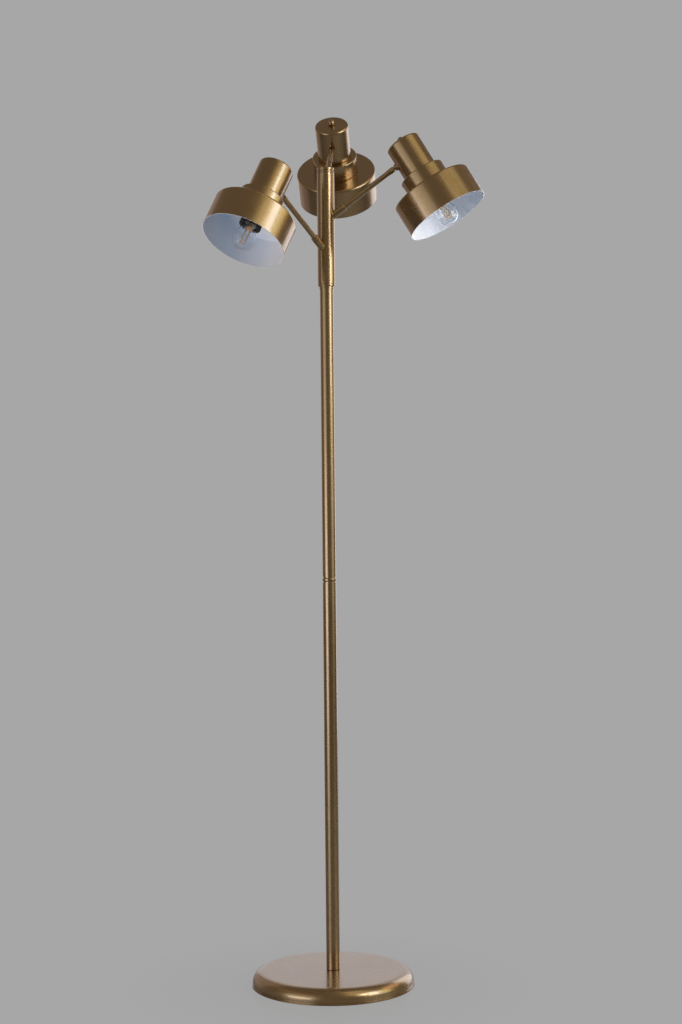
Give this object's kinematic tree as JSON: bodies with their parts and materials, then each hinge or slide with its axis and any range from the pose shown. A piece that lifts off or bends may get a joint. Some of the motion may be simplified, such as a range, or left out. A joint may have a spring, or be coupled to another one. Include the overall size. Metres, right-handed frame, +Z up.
{
  "type": "floor lamp",
  "caption": "Floor lamp with a round weighted base, a straight pole and tilting, swivelling drum spot heads on thin arms around a head tube; each head has a bulb and a ball switch knob.",
  "frame": {"origin": "centre of the base's underside, on the floor", "axes": "+Z up along the pole; the viewer stands on the -Y side, so +X is to the viewer's right"},
  "size_m": [0.5019, 0.5491, 1.63],
  "materials": {
    "brass_lacquer": "satin-gloss antique brass lacquer",
    "zinc_steel": "zinc plated",
    "nickel_steel": "nickel plated",
    "cast_iron": "raw casting",
    "felt": "matt felt",
    "black_rubber": "matt",
    "nylon": "matt",
    "black_phenolic": "moulded",
    "clear_glass": "clear",
    "filament_amber": "amber phosphor coating"
  },
  "bodies": {
    "stand": {"base_cover": "brass_lacquer", "base_weight": "cast_iron", "base_pad": "felt", "base_stud": "zinc_steel", "base_washer": "zinc_steel", "base_nut": "zinc_steel", "cord_grommet": "black_rubber", "foot_ring": "black_rubber", "foot_plug": "zinc_steel", "lower_pole": "brass_lacquer", "pole_coupler": "brass_lacquer", "upper_pole": "brass_lacquer", "tube_collar": "brass_lacquer", "head_tube": "brass_lacquer", "top_cap": "brass_lacquer", "left_arm_socket": "brass_lacquer", "right_arm_socket": "brass_lacquer", "back_arm_socket": "brass_lacquer", "left_arm_rod": "brass_lacquer", "right_arm_rod": "brass_lacquer", "back_arm_rod": "brass_lacquer", "left_arm_fork": "brass_lacquer", "right_arm_fork": "brass_lacquer", "back_arm_fork": "brass_lacquer", "tilt_screws": "brass_lacquer", "tilt_washers": "nylon"},
    "left_knuckle_link": {"left_knuckle": "brass_lacquer"},
    "left_head": {"left_cap": "brass_lacquer", "left_neck": "brass_lacquer", "left_shade": "brass_lacquer", "left_lampholder": "black_phenolic", "left_holder_ring": "black_phenolic", "left_bulb_glass": "clear_glass", "left_bulb_base": "nickel_steel", "left_filament": "filament_amber", "left_switch": "black_phenolic"},
    "left_knob_turn": {"left_knob": "brass_lacquer"},
    "right_knuckle_link": {"right_knuckle": "brass_lacquer"},
    "right_head": {"right_cap": "brass_lacquer", "right_neck": "brass_lacquer", "right_shade": "brass_lacquer", "right_lampholder": "black_phenolic", "right_holder_ring": "black_phenolic", "right_bulb_glass": "clear_glass", "right_bulb_base": "nickel_steel", "right_filament": "filament_amber", "right_switch": "black_phenolic"},
    "right_knob_turn": {"right_knob": "brass_lacquer"},
    "back_knuckle_link": {"back_knuckle": "brass_lacquer"},
    "back_head": {"back_cap": "brass_lacquer", "back_neck": "brass_lacquer", "back_shade": "brass_lacquer", "back_lampholder": "black_phenolic", "back_holder_ring": "black_phenolic", "back_bulb_glass": "clear_glass", "back_bulb_base": "nickel_steel", "back_filament": "filament_amber", "back_switch": "black_phenolic"},
    "back_knob_turn": {"back_knob": "brass_lacquer"}
  },
  "joints": [
    {"name": "left_tilt", "type": "hinge", "parent": "stand", "child": "left_knuckle_link", "pos_m": [-0.07613, -0.10103, 1.43594], "axis": [0.7986, -0.6018, 0], "range_deg": [-38, 32]},
    {"name": "left_swivel", "type": "hinge", "parent": "left_knuckle_link", "child": "left_head", "pos_m": [-0.07613, -0.10103, 1.43594], "axis": [-0.5131, -0.6809, 0.5225], "range_deg": [-72, 78]},
    {"name": "left_switch_turn", "type": "hinge", "parent": "left_head", "child": "left_knob_turn", "pos_m": [-0.08604, -0.11696, 1.48487], "axis": [0.3558, 0.3852, 0.8515], "range_deg": [0, 90]},
    {"name": "right_tilt", "type": "hinge", "parent": "stand", "child": "right_knuckle_link", "pos_m": [0.12219, -0.03274, 1.49394], "axis": [0.2588, 0.9659, 0], "range_deg": [-38, 32]},
    {"name": "right_swivel", "type": "hinge", "parent": "right_knuckle_link", "child": "right_head", "pos_m": [0.12219, -0.03274, 1.49394], "axis": [0.8236, -0.2207, 0.5225], "range_deg": [-74, 51]},
    {"name": "right_switch_turn", "type": "hinge", "parent": "right_head", "child": "right_knob_turn", "pos_m": [0.14037, -0.03703, 1.54291], "axis": [-0.5001, 0.1521, 0.8525], "range_deg": [0, 90]},
    {"name": "back_tilt", "type": "hinge", "parent": "stand", "child": "back_knuckle_link", "pos_m": [0.01103, 0.12602, 1.55894], "axis": [-0.9962, 0.0872, 0], "range_deg": [-28, 42]},
    {"name": "back_swivel", "type": "hinge", "parent": "back_knuckle_link", "child": "back_head", "pos_m": [0.01103, 0.12602, 1.55894], "axis": [0.0653, 0.7461, 0.6626], "range_deg": [-49, 76]},
    {"name": "back_switch_turn", "type": "hinge", "parent": "back_head", "child": "back_knob_turn", "pos_m": [0.01133, 0.13591, 1.61041], "axis": [-0.0751, -0.6585, 0.7488], "range_deg": [0, 90]}
  ]
}
